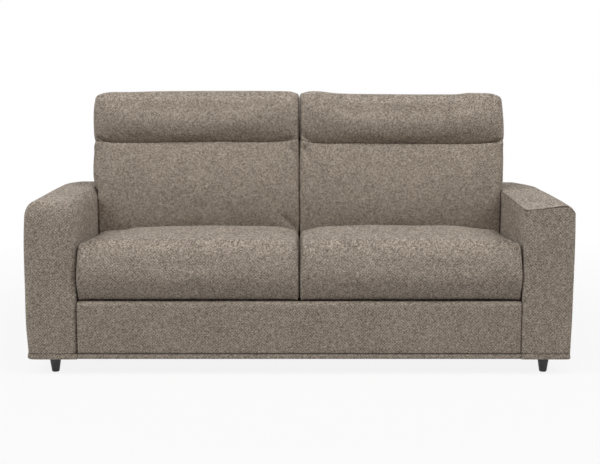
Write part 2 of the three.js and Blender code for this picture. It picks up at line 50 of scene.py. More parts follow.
class Socket:
    """One output of a material's nodes. Arithmetic on it adds the Math nodes that work it out."""

    def __init__(self, tree, socket):
        self.tree = tree
        self.socket = socket

    def make(self, kind, settings=(), inputs=(), output=0):
        node = self.tree.nodes.new("ShaderNode" + kind)
        for name, value in dict(settings).items():
            setattr(node, name, value)
        for name, value in dict(inputs).items():
            if isinstance(value, Socket):
                self.tree.links.new(value.socket, node.inputs[name])
            else:
                node.inputs[name].default_value = value
        return Socket(self.tree, node.outputs[output])

    def maths(self, operation, *others):
        return self.make("Math", {"operation": operation}, dict(enumerate([self, *others])))

    def stretched(self, *factors):
        return self.make("VectorMath", {"operation": "MULTIPLY"}, {0: self, 1: factors})

    def parts(self):
        return [self.make("SeparateXYZ", (), {0: self}, part) for part in range(3)]

    def mixed(self, start, end):
        return self.make("Mix", {"data_type": "RGBA"}, {0: self, 6: start, 7: end}, 2)

    def clamped(self):
        return self.make("Clamp", (), {0: self})

    def __add__(self, other):
        return self.maths("ADD", other)

    def __sub__(self, other):
        return self.maths("SUBTRACT", other)

    def __rsub__(self, other):
        return self.make("Math", {"operation": "SUBTRACT"}, {0: other, 1: self})

    def __mul__(self, other):
        return self.maths("MULTIPLY", other)

    __radd__ = __add__
    __rmul__ = __mul__


def linear(red, green, blue):
    """A colour as it looks on screen, from 0 to 255, as the plain light values that a shader takes."""
    shares = [value / 255 for value in (red, green, blue)]
    return [share / 12.92 if share < 0.04045 else ((share + 0.055) / 1.055) ** 2.4 for share in shares] + [1]


def new_material(name, roughness, metallic=0.0, sheen=0.0):
    """A material with its shader, and the place and the facing of each point on the piece."""
    material = bpy.data.materials.new(name)
    material.use_nodes = True
    shader = material.node_tree.nodes["Principled BSDF"]
    shader.inputs["Roughness"].default_value = roughness
    shader.inputs["Metallic"].default_value = metallic
    shader.inputs["Sheen Weight"].default_value = sheen
    place = material.node_tree.nodes.new("ShaderNodeTexCoord")
    where = Socket(material.node_tree, place.outputs["Object"])
    facing = Socket(material.node_tree, place.outputs["Normal"])
    return material, shader, where, facing


def feed(shader, **inputs):
    """Links sockets to the shader's inputs, named with an underscore for each space."""
    for name, value in inputs.items():
        value.tree.links.new(value.socket, shader.inputs[name.replace("_", " ")])


def bumped(height, distance, strength=1.0):
    return height.make("Bump", (), {"Height": height, "Distance": distance, "Strength": strength})


def noise(where, scale, detail=2.0, rough=0.5):
    return where.make("TexNoise", (), {"Vector": where, "Scale": scale, "Detail": detail, "Roughness": rough})


def flecks(where, across, deep, up, turn=(0, 0, 0)):
    """A random shade for each small cell of the cloth, from -0.5 to 0.5."""
    turned = where.make("Mapping", (), {"Vector": where, "Rotation": turn})
    cells = turned.stretched(1 / across, 1 / deep, 1 / up)
    whole = cells.make("VectorMath", {"operation": "FLOOR"}, {0: cells})
    return whole.make("TexWhiteNoise", {"noise_dimensions": "3D"}, {"Vector": whole}) - 0.5


yarn_pitch = 0.0035
weave_repeat = 0.0112
dark_yarn = linear(86, 76, 64)
light_yarn = linear(208, 193, 177)


def woven_fabric(name, dark, light):
    """A two-tone tweed: short flecks of light and dark yarn over a small diamond weave, with longer flecks
    on cloth that lies flat or faces sideways."""
    material, shader, where, facing = new_material(name, 0.95, sheen=0.08)
    shader.inputs["Sheen Roughness"].default_value = 0.6
    x, y, z = [(part * (2 * math.pi / weave_repeat)).maths("COSINE") for part in where.parts()]
    weights = [part.maths("POWER", 4.0) for part in facing.parts()]
    diamonds = y * z * weights[0] + x * z * weights[1] + x * y * weights[2]
    fine = flecks(where, yarn_pitch, yarn_pitch, yarn_pitch, (0.79, 0.62, 0.3))
    short = flecks(where, yarn_pitch * 1.4, yarn_pitch * 1.4, yarn_pitch * 0.8, (0.2, 0.1, 0.5))
    sideways, level = [facing.parts()[axis].maths("POWER", 2.0) for axis in (0, 2)]
    lying = flecks(where, yarn_pitch * 1.15, yarn_pitch * 3.2, yarn_pitch * 1.2) * (sideways * 0.7 + level)
    slub = noise(where.stretched(1, 1, 0.3), 170) - 0.5
    cloud = noise(where, 9, 3.0) - 0.5
    shade = fine * 0.48 + short * 0.30 + lying * 0.66 + diamonds * 0.13 + slub * 0.14 + cloud * 0.14
    tone = (0.5 + shade).clamped().maths("POWER", 1.35)
    height = fine * 0.6 + short * 0.6 + lying * 0.4 + diamonds * 0.3 + slub * 0.3
    feed(shader, Base_Color=tone.mixed(dark, light), Roughness=0.98 - tone * 0.08,
         Normal=bumped(height, 0.0008, 0.6))
    return material


sofa_fabric = woven_fabric("sofa_fabric", dark_yarn, light_yarn)


def linked(name, data):
    """A new object in the scene."""
    thing = bpy.data.objects.new(name, data)
    bpy.context.scene.collection.objects.link(thing)
    return thing


def link_mesh(name, points, faces, material):
    mesh = bpy.data.meshes.new(name)
    mesh.from_pydata([tuple(point) for point in points], [], faces)
    mesh.materials.append(material)
    mesh.update()
    mesh.shade_smooth()
    return linked(name, mesh)


def axis_stops(low, high, edge_low, edge_high, step, rings, fine=()):
    """Where a box's rings of points lie along one axis: even steps, more at fine, rings over each edge."""
    bend = np.tan(np.linspace(0, math.pi / 4, rings + 1))[1:]
    start, end = low + edge_low, high - edge_high
    inner = np.linspace(start, end, max(2, round((end - start) / step) + 1))
    if len(fine):
        far = [stop for stop in inner if np.min(np.abs(np.array(fine) - stop)) > step * 0.6]
        inner = np.sort(np.concatenate([far, fine]))
    return np.concatenate([start - edge_low * bend[::-1], inner, end + edge_high * bend])


def soft_box(name, low, high, edges, step, material, shape=None, rings=5, fine=((), (), ())):
    """A closed box. edges gives the roundness of the low and the high side of each axis. shape then moves the
    points, which it gets with their shares: -1 at the low side of each axis and 1 at the high side."""
    lines = [axis_stops(low[axis], high[axis], *edges[axis], step, rings, fine[axis]) for axis in range(3)]
    last = [len(line) - 1 for line in lines]
    index = {}
    faces = []
    for axis in range(3):
        across, along = (axis + 1) % 3, (axis + 2) % 3
        for end in (0, last[axis]):
            for row in range(last[across]):
                for column in range(last[along]):
                    ring = [(row, column), (row + 1, column), (row + 1, column + 1), (row, column + 1)]
                    face = []
                    for corner in ring if end else reversed(ring):
                        key = [0, 0, 0]
                        key[axis], key[across], key[along] = end, *corner
                        face.append(index.setdefault(tuple(key), len(index)))
                    faces.append(face)
    keys = np.array(list(index))
    points = np.stack([lines[axis][keys[:, axis]] for axis in range(3)], axis=1)
    low, high = np.array(low), np.array(high)
    edge = np.array(edges)
    core = np.clip(points, low + edge[:, 0], high - edge[:, 1])
    radius = np.where(points < core, edge[:, 0], edge[:, 1])
    away = (points - core) / radius
    length = np.linalg.norm(away, axis=1, keepdims=True)
    points = core + away / np.maximum(length, 1e-9) * radius
    if shape:
        shares = (points - low) / (high - low) * 2 - 1
        points = shape(points.copy(), shares)
    return link_mesh(name, points, faces, material)


def smooth(value):
    """Eases from 0 to 1 as the value does, and stays level past either."""
    value = np.clip(value, 0, 1)
    return value * value * (3 - 2 * value)


def dome(share):
    """1 in the middle of a side, where the share is 0, and 0 at its ends."""
    return 1 - share * share


def ripple(points, size, height, seed):
    """Gentle unevenness of stuffed fabric: a few crossed waves with their phases set by the seed."""
    total = np.zeros(len(points))
    for turn in range(5):
        angle = seed * 1.7 + turn * 2.4
        wave = points @ np.array([math.cos(angle), math.sin(angle * 1.3), math.sin(angle)])
        total += np.sin(wave * 2 * math.pi / (size * (1 + 0.23 * turn)) + seed * 3.1 + turn)
    return total * height / 5


def add_piece(piece, body, nodes=()):
    """Puts a piece on its body, in place of its nodes."""
    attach(piece, body)
    if nodes:
        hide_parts(*nodes)


def band(first, second, sides):
    """The faces between two rings of points, which start at these numbers."""
    return [[first + side, first + (side + 1) % sides, second + (side + 1) % sides, second + side]
            for side in range(sides)]


def end_face(first, sides, starts):
    """The face that closes a ring of points, turned outward at the start or at the end of a piece."""
    ring = [first + side for side in range(sides)]
    return ring[::-1] if starts else ring


def sweep(name, path, section, material):
    """A section, in outward and upward distances, carried along a level path with its outside on the left."""
    path = np.array(path)
    steps = np.gradient(path, axis=0)
    steps = steps[:, :2] / np.linalg.norm(steps[:, :2], axis=1, keepdims=True)
    outward = np.stack([-steps[:, 1], steps[:, 0]], axis=1)
    points = []
    for place, out in zip(path, outward):
        points += [(*(place[:2] + out * distance), place[2] + height) for distance, height in section]
    sides = len(section)
    last = (len(path) - 1) * sides
    faces = []
    for first in range(0, last, sides):
        faces += band(first, first + sides, sides)
    faces += [end_face(0, sides, True), end_face(last, sides, False)]
    return link_mesh(name, points, faces, material)


def round_corners(corners, radius, steps=6, pitch=0.03):
    """A level path through the corners, each turned with the given radius, with even points between."""
    corners = [np.array(corner, float) for corner in corners]
    path = [corners[0]]
    for before, corner, after in zip(corners, corners[1:], corners[2:]):
        back = (before - corner) / np.linalg.norm(before - corner)
        ahead = (after - corner) / np.linalg.norm(after - corner)
        for turn in range(steps + 1):
            share = turn / steps
            path.append(corner + back * radius * (1 - share) ** 2 + ahead * radius * share ** 2)
    path.append(corners[-1])
    dense = [path[0]]
    for start, end in zip(path, path[1:]):
        parts = max(1, round(np.linalg.norm(end - start) / pitch))
        dense += [start + (end - start) * part / parts for part in range(1, parts + 1)]
    return dense


hem_thickness = 0.0026
hem_height = 0.0205
hem_drop = 0.004
hem_section = [
    (-0.006, 0.0002),
    (hem_thickness, 0),
    (hem_thickness * 1.55, 0.0016),
    (hem_thickness * 1.7, hem_height * 0.3),
    (hem_thickness * 1.2, hem_height * 0.7),
    (hem_thickness * 0.6, hem_height - 0.0016),
    (0.0002, hem_height),
    (-0.004, hem_height),
]
stitch_pitch = 0.0078
stitch_length = 0.0052
stitch_radius = 0.00065
stitch_drop = 0.0035
thread = woven_fabric("sewing_thread", linear(96, 86, 76), linear(160, 148, 136))


def stitch_row(name, path, offset, material, sides=6):
    """A row of short threads along a path, each a spindle lying on the cloth."""
    path = np.array(path)
    lengths = np.concatenate([[0], np.cumsum(np.linalg.norm(np.diff(path, axis=0), axis=1))])
    spindle = ((0, 0.35), (0.2, 1), (0.8, 1), (1, 0.35))
    points = []
    faces = []
    for start in np.arange(stitch_pitch, lengths[-1] - stitch_pitch, stitch_pitch):
        ends = [np.array([np.interp(at, lengths, path[:, axis]) for axis in range(3)])
                for at in (start, start + stitch_length)]
        along = (ends[1] - ends[0]) / np.linalg.norm(ends[1] - ends[0])
        out = np.array([-along[1], along[0], 0])
        up = np.cross(along, out)
        first = len(points)
        for share, thickness in spindle:
            sunk = offset + 0.3 * stitch_radius * (thickness - 1)
            middle = ends[0] + (ends[1] - ends[0]) * share + out * sunk
            for side in range(sides):
                angle = side * 2 * math.pi / sides
                spoke = out * math.cos(angle) + up * math.sin(angle)
                points.append(middle + stitch_radius * thickness * spoke)
        last = len(points) - sides
        for ring in range(first, last, sides):
            faces += band(ring, ring + sides, sides)
        faces += [end_face(first, sides, True), end_face(last, sides, False)]
    return link_mesh(name, points, faces, material)


def flowing(stops, values, where):
    """A smooth curve through the given values, with no overshoot between stops of equal value."""
    stops, values = np.array(stops, float), np.array(values, float)
    slopes = np.diff(values) / np.diff(stops)
    between = np.where(slopes[1:] * slopes[:-1] > 0, (slopes[1:] + slopes[:-1]) / 2, 0)
    tangents = np.concatenate([[slopes[0]], between, [slopes[-1]]])
    where = np.clip(where, stops[0], stops[-1])
    cell = np.clip(np.searchsorted(stops, where, side="right") - 1, 0, len(stops) - 2)
    run = stops[cell + 1] - stops[cell]
    on = (where - stops[cell]) / run
    off = 1 - on
    return ((1 + 2 * on) * off ** 2 * values[cell] + on * off ** 2 * run * tangents[cell]
            + on * on * (3 - 2 * on) * values[cell + 1] - on * on * off * run * tangents[cell + 1])


def measured(node):
    """A node's lowest and highest corners in the frame, to a tenth of a millimetre."""
    return [[round(float(value), 4) for value in corner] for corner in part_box(node)]


# How far each arm's outer face stands out, at these heights.
arm_side_heights = [0.06, 0.09, 0.13, 0.18, 0.30, 0.50, 0.60]
arm_side_lines = {
    "left": (arm_side_heights, [-0.0004, 0.0014, 0.0040, 0.0068, 0.0074, 0.0062, 0.0015]),
    "right": (arm_side_heights, [-0.0030, -0.0020, -0.0010, 0.0006, 0.0020, 0.0036, 0.0022]),
}
arm_front_swell = 0.0025
# The height of each arm's top along its inner and outer edges, at these places from front to rear.
arm_top_stops = (-0.47, 0.0, 0.29, 0.46)
arm_top_levels = {
    "left": {"inner": (0.6350, 0.6395, 0.6415, 0.6255), "outer": (0.6375, 0.6425, 0.6425, 0.6235)},
    "right": {"inner": (0.6110, 0.6240, 0.6310, 0.6250), "outer": (0.6285, 0.6335, 0.6335, 0.6250)},
}
arm_outer_fall = {"left": 0.0, "right": 0.024}
outer_fall_start, outer_fall_width = 0.955, 0.042
arm_rear_fall = 0.012
rear_fall_x, rear_fall_y = 0.92, 0.16
leg_lane_edge = round(measured("right_foot_leg")[1][0] + 0.0155, 4)
leg_lane_front = 0.20
leg_lane_level = 0.6305
arm_inner, arm_outer = measured("right_arm")[0][0], measured("right_arm")[1][0]


def arm_top(side_name, side, places):
    """The height of an arm's top cloth at some places, with room left at the rear for the folded bed legs."""
    rows = arm_top_levels[side_name]
    x, y = side * places[:, 0], places[:, 1]
    inner, outer = [flowing(arm_top_stops, rows[name], y) for name in ("inner", "outer")]
    level = inner + (outer - inner) * smooth((x - arm_inner) / (arm_outer - arm_inner))
    level -= arm_outer_fall[side_name] * np.clip((x - outer_fall_start) / outer_fall_width, 0, 1.1) ** 3.5
    level -= arm_rear_fall * smooth((x - rear_fall_x) / 0.08) * smooth((y - rear_fall_y) / 0.24)
    lane = smooth((leg_lane_edge - x) / 0.012) * smooth((y - leg_lane_front) / 0.06)
    return level - lane * np.maximum(level - leg_lane_level, 0)


def arm_shape(side_name, side, seed, height):
    """Crowns the top, swells the front and the outer face and leaves the stuffing a little uneven."""
    def shape(points, shares):
        across, deep, tall = shares.T
        top = np.maximum(tall, 0) ** 12
        outer = np.maximum(side * across, 0)
        points[:, 2] += top * (arm_top(side_name, side, points) - height)
        points[:, 0] += side * flowing(*arm_side_lines[side_name], points[:, 2]) * outer ** 6
        points[:, 1] -= arm_front_swell * np.maximum(-deep, 0) ** 8 * dome(across) * dome(tall ** 3)
        points[:, 0] += side * ripple(points, 0.31, 0.0012, seed) * outer ** 2
        points[:, 2] += ripple(points, 0.27, 0.0010, seed + 1) * top * smooth((0.25 - points[:, 1]) / 0.1)
        return points
    return shape


def evaluated(thing):
    """The object as its settings and modifiers leave it."""
    return thing.evaluated_get(bpy.context.evaluated_depsgraph_get())


def seam_line(name, path, radius, material):
    """A thin round tube along a path on the sofa's body, in the given cloth: a sewn ridge, or a dark line of
    painted shade.
    """
    curve = bpy.data.curves.new(name, "CURVE")
    curve.dimensions = "3D"
    curve.bevel_depth = radius
    curve.bevel_resolution = 2
    curve.use_fill_caps = True
    spline = curve.splines.new("POLY")
    spline.points.add(len(path) - 1)
    for point, place in zip(spline.points, path):
        point.co = (*place, 1)
    holder = linked(name + "_path", curve)
    mesh = bpy.data.meshes.new_from_object(evaluated(holder))
    bpy.data.objects.remove(holder)
    mesh.name = name
    mesh.materials.clear()
    mesh.materials.append(material)
    mesh.shade_smooth()
    add_piece(linked(name, mesh), "root")


# A darker cloth for the sewn ridge along the right arm's top seam: the seam is real, and its darker colour is
# painted shade along it.
seam_painted_shade_fabric = woven_fabric("seam_painted_shade_fabric", linear(74, 65, 57), linear(140, 128, 116))
# Dark cloth for a thin tube along each hem's fold: painted shade where the groove at the hem's top edge is in
# shadow.
crease_painted_shade_fabric = woven_fabric("crease_painted_shade_fabric", linear(58, 50, 43), linear(92, 82, 73))
crease_shade_radius = 0.0015


def sewn_hem(name, path, crease_lean=0.0):
    """A folded band along a path, with stitches under its top edge and a dark tube along the fold: painted
    shade for the groove's shadow there.
    """
    add_piece(sweep(name + "_hem", path, hem_section, sofa_fabric), "root")
    raised = [place + np.array([0, 0, hem_height - stitch_drop]) for place in path]
    add_piece(stitch_row(name + "_stitches", raised, hem_thickness, thread), "root")
    folded = [place + np.array([0, crease_lean, hem_height]) for place in path]
    # The dark tube along the fold is painted shade for the shadowed groove at the hem's top edge.
    seam_line(name + "_hem_crease_painted_shade", folded, crease_shade_radius, crease_painted_shade_fabric)


arm_edges = {
    "left": {"inner": 0.032, "outer": 0.034, "front": 0.030, "rear": 0.040, "top": 0.044},
    "right": {"inner": 0.010, "outer": 0.022, "front": 0.010, "rear": 0.036, "top": 0.013},
}
both_sides = (("left", -1), ("right", 1))
arm_bottom_edge = 0.003
arm_step = 0.012
arm_hem_inset = {"left": 0.0, "right": 0.0045}

for seed, (side_name, side) in enumerate(both_sides):
    low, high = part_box(side_name + "_arm")
    edge = arm_edges[side_name]
    across = (edge["inner"], edge["outer"])
    edges = [across if side > 0 else across[::-1], (edge["front"], edge["rear"]),
             (arm_bottom_edge, edge["top"])]
    arm = soft_box(side_name + "_arm_cover", low, high, edges, arm_step, sofa_fabric,
                   arm_shape(side_name, side, 3 + seed, high[2]))
    add_piece(arm, "root", [side_name + "_arm"])
    inner, outer = (low[0], high[0]) if side > 0 else (high[0], low[0])
    outer -= side * arm_hem_inset[side_name]
    around = ((inner, low[1]), (outer, low[1]), (outer, high[1]), (inner, high[1]))
    corners = [(x, y, low[2] - hem_drop) for x, y in around]
    path = round_corners(corners, (edge["front"] + edge["outer"]) / 2)
    sewn_hem(side_name + "_arm", path[::-1] if side > 0 else path)

right_low, right_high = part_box("right_arm")
seam_inset = 0.0018
seam_end = 0.06
seam_corner_radius = 0.006
seam_radius = 0.0016
seam_corners = [
    (right_low[0] + seam_inset, right_high[1] - seam_end, 0),
    (right_low[0] + seam_inset, right_low[1] + seam_inset, 0),
    (right_high[0] - seam_inset * 2, right_low[1] + seam_inset, 0),
]
seam_path = np.array(round_corners(seam_corners, seam_corner_radius))
seam_path[:, 2] = arm_top("right", 1, seam_path) - seam_inset
# The seam ridge is drawn in the darker cloth: painted shade along the seam.
seam_line("right_arm_top_seam", seam_path, seam_radius, seam_painted_shade_fabric)


# Front panel. A padded board between the arms under the seat cushions, upholstered in the sofa's fabric
# with the same stitched hem along its lower edge.

panel_rise = 0.0022
panel_swell = 0.002
panel_step = 0.014
panel_hem_lift = 0.0012
hem_points = 61
hem_overlap = 0.010


def panel_shape(points, shares):
    """Lifts the top edge, swells the front and leaves the padding a little uneven."""
    across, deep, tall = shares.T
    front = np.maximum(-deep, 0) ** 4
    points[:, 2] += panel_rise * np.maximum(tall, 0) ** 12
    points[:, 1] -= panel_swell * front * dome(across ** 6) * dome(tall ** 3)
    points[:, 1] += ripple(points, 0.42, 0.0009, 8.0) * front
    return points


def straight_hem(start, end, y, panel_bottom):
    """A level path along a panel, whose hem hangs a little less far than those of the arms beside it."""
    height = panel_bottom - hem_drop + panel_hem_lift
    return [np.array([x, y, height]) for x in np.linspace(start, end, hem_points)]


low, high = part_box("front_panel")
edges = [(0.006, 0.006), (0.014, 0.008), (0.003, 0.014)]
panel = soft_box("front_panel_cover", low, high, edges, panel_step, sofa_fabric, panel_shape)
add_piece(panel, "root", ["front_panel"])
path = straight_hem(high[0] + hem_overlap, low[0] - hem_overlap, low[1] - 0.0014, low[2])
sewn_hem("front_panel", path, crease_lean=-0.0016)


# Rear panel. The upright padded board behind the folded bed, closed off with fabric and seamed where
# the two widths of cloth meet at the middle.

rear_swell = 0.004
rear_seam_depth, rear_seam_width = 0.004, 0.007
rear_hem_inset = 0.0035


def rear_shape(points, shares):
    """Swells the rear face and draws it in along the seam at the middle."""
    across, deep, tall = shares.T
    rear = np.maximum(deep, 0)
    points[:, 1] += rear_swell * rear ** 4 * dome(across ** 6) * dome(tall ** 4)
    points[:, 1] += ripple(points, 0.5, 0.0015, 11.0) * rear ** 4
    points[:, 1] -= rear_seam_depth * np.exp(-(points[:, 0] / rear_seam_width) ** 2) * rear ** 2
    return points


low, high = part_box("rear_panel")
edges = [(0.008, 0.008), (0.010, 0.014), (0.003, 0.014)]
panel = soft_box("rear_panel_cover", low, high, edges, arm_step, sofa_fabric, rear_shape)
add_piece(panel, "root", ["rear_panel"])
path = straight_hem(low[0] + rear_hem_inset, high[0] - rear_hem_inset, high[1] + 0.0008, low[2])
add_piece(sweep("rear_panel_hem", path, hem_section, sofa_fabric), "root")


# Legs. Short tapered feet turned from dark charcoal plastic, screwed up into the arms, each with a thin
# felt disc under it.

def turned(name, centre, profile, material, sides=48):
    """A round piece about an upright axis. The profile is its radius and height, from axis to axis."""
    points = [(centre[0], centre[1], profile[0][1])]
    for radius, height in profile[1:-1]:
        for side in range(sides):
            angle = side * 2 * math.pi / sides
            out = radius * math.cos(angle), radius * math.sin(angle)
            points.append((centre[0] + out[0], centre[1] + out[1], height))
    points.append((centre[0], centre[1], profile[-1][1]))
    faces = [[0, 1 + (side + 1) % sides, 1 + side] for side in range(sides)]
    last = 1 + (len(profile) - 3) * sides
    for first in range(1, last, sides):
        faces += band(first, first + sides, sides)
    faces += [[last + side, last + (side + 1) % sides, len(points) - 1] for side in range(sides)]
    return link_mesh(name, points, faces, material)


def moulded_plastic():
    material, shader, where, _ = new_material("charcoal_plastic", 0.5)
    grain = noise(where, 900, 3.0)
    scuff = noise(where, 35, 4.0, 0.7)
    colour = (grain * 0.5 + scuff * 0.5).mixed(linear(44, 44, 45), linear(66, 66, 67))
    feed(shader, Base_Color=colour, Roughness=0.42 + scuff * 0.25, Normal=bumped(grain, 0.0002, 0.35))
    return material


charcoal_plastic = moulded_plastic()
foot = 0.014
leg_gap = 0.0004

for end_name in ("front", "rear"):
    for side_name in ("left", "right"):
        node = f"{end_name}_{side_name}_leg"
        low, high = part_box(node)
        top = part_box(side_name + "_arm")[0][2] - leg_gap
        centre = ((low[0] + high[0]) / 2, (low[1] + high[1]) / 2)
        head = (high[0] - low[0]) / 2
        profile = [
            (0, 0), (foot - 0.002, 0), (foot - 0.0015, 0.0014), (foot - 0.0008, 0.0016), (foot, 0.0026),
            (foot + (head - foot) * 0.05, 0.006), (head - 0.0005, top - 0.004), (head, top - 0.0022),
            (head - 0.0008, top - 0.0006), (head - 0.0024, top), (0, top),
        ]
        add_piece(turned(node + "_cone", centre, profile, charcoal_plastic), "root", [node])


# Boards. The plywood that stands in the arms and panels, which the mechanism is bolted to. It shows only
# from below.

ply_thickness = 0.0015


def layered_wood():
    material, shader, where, _ = new_material("plywood", 0.75)
    grain = noise(where.stretched(26, 3, 3), 14, 5.0, 0.6)
    plies = (where.parts()[0] * (math.pi / ply_thickness)).maths("SINE") * 0.5 + 0.5
    colour = (grain * 0.7 + plies * 0.3).clamped().mixed(linear(150, 119, 80), linear(205, 178, 136))
    feed(shader, Base_Color=colour, Roughness=0.65 + grain * 0.2, Normal=bumped(grain, 0.0003, 0.5))
    return material


def dress(node, material):
    """Gives a CAD piece that stays in view its material."""
    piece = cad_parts[node]
    piece.data.materials.clear()
    piece.data.materials.append(material)


plywood = layered_wood()
for node in ("front_panel_board", "rear_panel_board", "left_arm_board", "right_arm_board"):
    dress(node, plywood)


# Lifting mechanism. Pressed steel plates on the arms, with riveted pins and flat links, all zinc plated.

def zinc_plate():
    material, shader, where, _ = new_material("zinc_plate", 0.38, metallic=0.9)
    bloom = noise(where, 45, 4.0, 0.65)
    brush = noise(where.stretched(1, 1, 30), 90, 3.0)
    colour = (bloom * 0.6 + brush * 0.4).mixed(linear(138, 141, 143), linear(200, 203, 205))
    feed(shader, Base_Color=colour, Roughness=0.28 + bloom * 0.28, Normal=bumped(brush, 0.0001, 0.3))
    return material


zinc = zinc_plate()
for side_name in ("left", "right"):
    for part in ("mechanism_plate", "front_plate_bolt", "rear_plate_bolt", "front_link", "rear_link",
                 "seat_hinge_pin", "back_hinge_pin"):
        dress(f"{side_name}_{part}", zinc)
dress("foot_leg_axle", zinc)


# Bed frames. Square steel tubes for the head, seat and back sections and the legs that fold out from
# them, powder coated dark grey, with plastic glides on the feet.

def powder_coat():
    material, shader, where, _ = new_material("powder_coat", 0.5)
    peel = noise(where, 700)
    dust = noise(where, 18, 4.0, 0.6)
    colour = (dust * 0.8 + peel * 0.2).mixed(linear(46, 47, 49), linear(72, 73, 75))
    feed(shader, Base_Color=colour, Roughness=0.4 + dust * 0.2, Normal=bumped(peel, 0.0002, 0.35))
    return material


coated_steel = powder_coat()
for node in ("head_front_tube", "head_rear_tube", "seat_front_tube", "seat_rear_tube", "back_lower_tube",
             "back_upper_tube"):
    dress(node, coated_steel)
for side_name in ("left", "right"):
    for part in ("head_rail", "seat_rail", "back_rail", "middle_leg", "foot_leg"):
        dress(f"{side_name}_{part}", coated_steel)
    for part in ("middle_glide", "foot_glide"):
        dress(f"{side_name}_{part}", charcoal_plastic)


# Wire decks. Round steel wires welded in a grid inside each frame, with a thicker wire round the edge,
# which carry the mattress.

wire_radius = 0.0013
edge_wire_radius = wire_radius * 1.1
wire_pitch = 0.058


def wire_grid(name, node, flat_axis, sides=8):
    """Crossed round wires that fill a node's box, level with its middle along flat_axis."""
    low, high = [np.array(corner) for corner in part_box(node)]
    level = (low[flat_axis] + high[flat_axis]) / 2
    spans = [axis for axis in range(3) if axis != flat_axis]
    points = []
    faces = []
    for run, cross in (spans, spans[::-1]):
        start, end = low[cross] + wire_radius, high[cross] - wire_radius
        count = round((end - start) / wire_pitch)
        for number in range(count + 1):
            radius = edge_wire_radius if number in (0, count) else wire_radius
            middle = start + (end - start) * number / count
            first = len(points)
            for at in (low[run], high[run]):
                for side in range(sides):
                    angle = (side + 0.5) * 2 * math.pi / sides
                    point = np.zeros(3)
                    point[run] = at
                    point[cross] = middle + radius * math.cos(angle)
                    point[flat_axis] = level + radius * math.sin(angle)
                    points.append(point)
            faces += band(first, first + sides, sides)
            faces += [end_face(first, sides, True), end_face(first + sides, sides, False)]
    return link_mesh(name, points, faces, zinc)


for section, flat_axis in (("head", 2), ("seat", 2), ("back", 1)):
    node = section + "_wire_deck"
    add_piece(wire_grid(section + "_deck_wires", node, flat_axis), section + "_section", [node])


# Mattress. Three blocks of foam, one in each section, in off-white striped ticking that is quilted on the
# side that is slept on.

stripe_pitch = 0.024
rib_pitch = 0.0022


def ticking_cloth():
    material, shader, where, _ = new_material("mattress_ticking", 0.85, sheen=0.1)
    x = where.parts()[0]
    stripe = (x * (2 * math.pi / stripe_pitch)).maths("SINE")
    rib = (x * (2 * math.pi / rib_pitch)).maths("SINE") * 0.5
    fleck = noise(where, 500) - 0.5
    tone = (0.5 + stripe * 0.22 + fleck * 0.5).clamped()
    colour = tone.mixed(linear(203, 200, 193), linear(232, 230, 225))
    feed(shader, Base_Color=colour, Roughness=0.8 + tone * 0.1, Normal=bumped(rib + fleck, 0.0005, 0.5))
    return material


ticking = ticking_cloth()
quilt_pitch = 0.095
quilt_depth = 0.0045


def quilted(sleep_axis, sleep_side):
    """Draws the cloth in along crossed diagonal rows of stitching, on the side that is slept on."""
    run = 3 - sleep_axis

    def shape(points, shares):
        facing = np.maximum(sleep_side * shares[:, sleep_axis], 0) ** 6
        inside = smooth((1 - np.abs(shares[:, 0])) * 8) * smooth((1 - np.abs(shares[:, run])) * 6)
        rising = (points[:, 0] + points[:, run]) * math.pi / quilt_pitch
        falling = (points[:, 0] - points[:, run]) * math.pi / quilt_pitch
        puff = np.abs(np.sin(rising)) ** 0.5 * np.abs(np.sin(falling)) ** 0.5
        points[:, sleep_axis] -= sleep_side * quilt_depth * (1 - puff) * facing * inside
        return points
    return shape


foam_edge = 0.012
mattress_step = 0.0135

for section, sleep_axis, sleep_side in (("head", 2, 1), ("seat", 2, -1), ("back", 1, 1)):
    node = section + "_mattress"
    low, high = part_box(node)
    edges = [(foam_edge, foam_edge)] * 3
    block = soft_box(section + "_mattress_cover", low, high, edges, mattress_step, ticking,
                     quilted(sleep_axis, sleep_side), rings=3)
    add_piece(block, section + "_section", [node])


# Seat cushions. Foam wrapped in fibre under a loose sewn cover: a crowned top that slopes gently to the
# rear, a full rounded front that rolls over the panel, and sides tucked in where they meet the arms.

air_pressure = 1.0
cloth_slack = 0.001
farthest_move = 0.008
filling_frames = 20


def filled_out(cover, sewn, pressed):
    """Fills a sewn cover as its stuffing does: a cloth simulation under air pressure, held where it is sewn
    and flat where it is pressed on its neighbours. One subdivision then rounds it."""
    mesh = cover.data
    places = np.empty(len(mesh.vertices) * 3)
    mesh.vertices.foreach_get("co", places)
    before = places.reshape(-1, 3).copy()
    after = before.copy()
    group = cover.vertex_groups.new(name="sewn")
    group.add([int(index) for index in np.flatnonzero(sewn(before))], 1.0, "REPLACE")
    cloth = cover.modifiers.new("filling", "CLOTH")
    cloth.settings.quality = 4
    cloth.settings.use_pressure = True
    cloth.settings.uniform_pressure_force = air_pressure
    cloth.settings.effector_weights.gravity = 0
    cloth.settings.vertex_group_mass = "sewn"
    cloth.settings.shrink_min = -cloth_slack
    cloth.point_cache.frame_end = filling_frames
    for moment in range(1, filling_frames + 1):
        bpy.context.scene.frame_set(moment)
    evaluated(cover).data.vertices.foreach_get("co", places)
    moved = places.reshape(-1, 3) - before
    length = np.linalg.norm(moved, axis=1, keepdims=True)
    after = before + moved * np.minimum(1, farthest_move / np.maximum(length, 1e-9))
    cover.modifiers.remove(cloth)
    cover.vertex_groups.remove(group)
    bpy.context.scene.frame_set(1)
    mesh.vertices.foreach_set("co", pressed(after).ravel())
    rounding = cover.modifiers.new("rounding", "SUBSURF")
    rounding.levels = rounding.render_levels = 1
    rounded = bpy.data.meshes.new_from_object(evaluated(cover))
    cover.modifiers.remove(rounding)
    rounded.name = mesh.name
    cover.data = rounded


